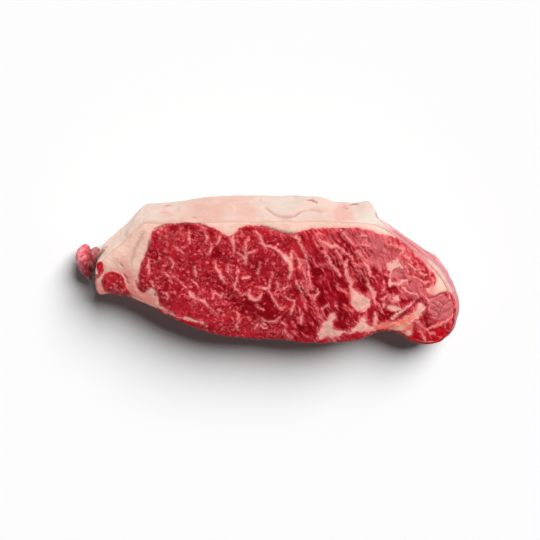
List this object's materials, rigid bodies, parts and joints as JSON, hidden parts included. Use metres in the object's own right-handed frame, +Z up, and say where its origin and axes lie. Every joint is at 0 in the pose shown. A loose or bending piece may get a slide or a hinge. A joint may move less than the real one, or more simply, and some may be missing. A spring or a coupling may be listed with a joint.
{
  "type": "raw steak",
  "caption": "Thick raw sirloin steak with a marbled red eye, a fat cap along one long side, a small knob of meat at one end and a rounded tail, lying flat on a cut face.",
  "frame": {"origin": "under the middle of the steak's bounding box, on the flat cut face that it rests on", "axes": "+X along the slice towards its tail, +Y towards the fat cap, +Z up out of the shown cut face"},
  "size_m": [0.2418, 0.097, 0.0341],
  "materials": {
    "raw_beef": "moist"
  },
  "bodies": {
    "root": {"steak": "raw_beef"}
  },
  "joints": []
}
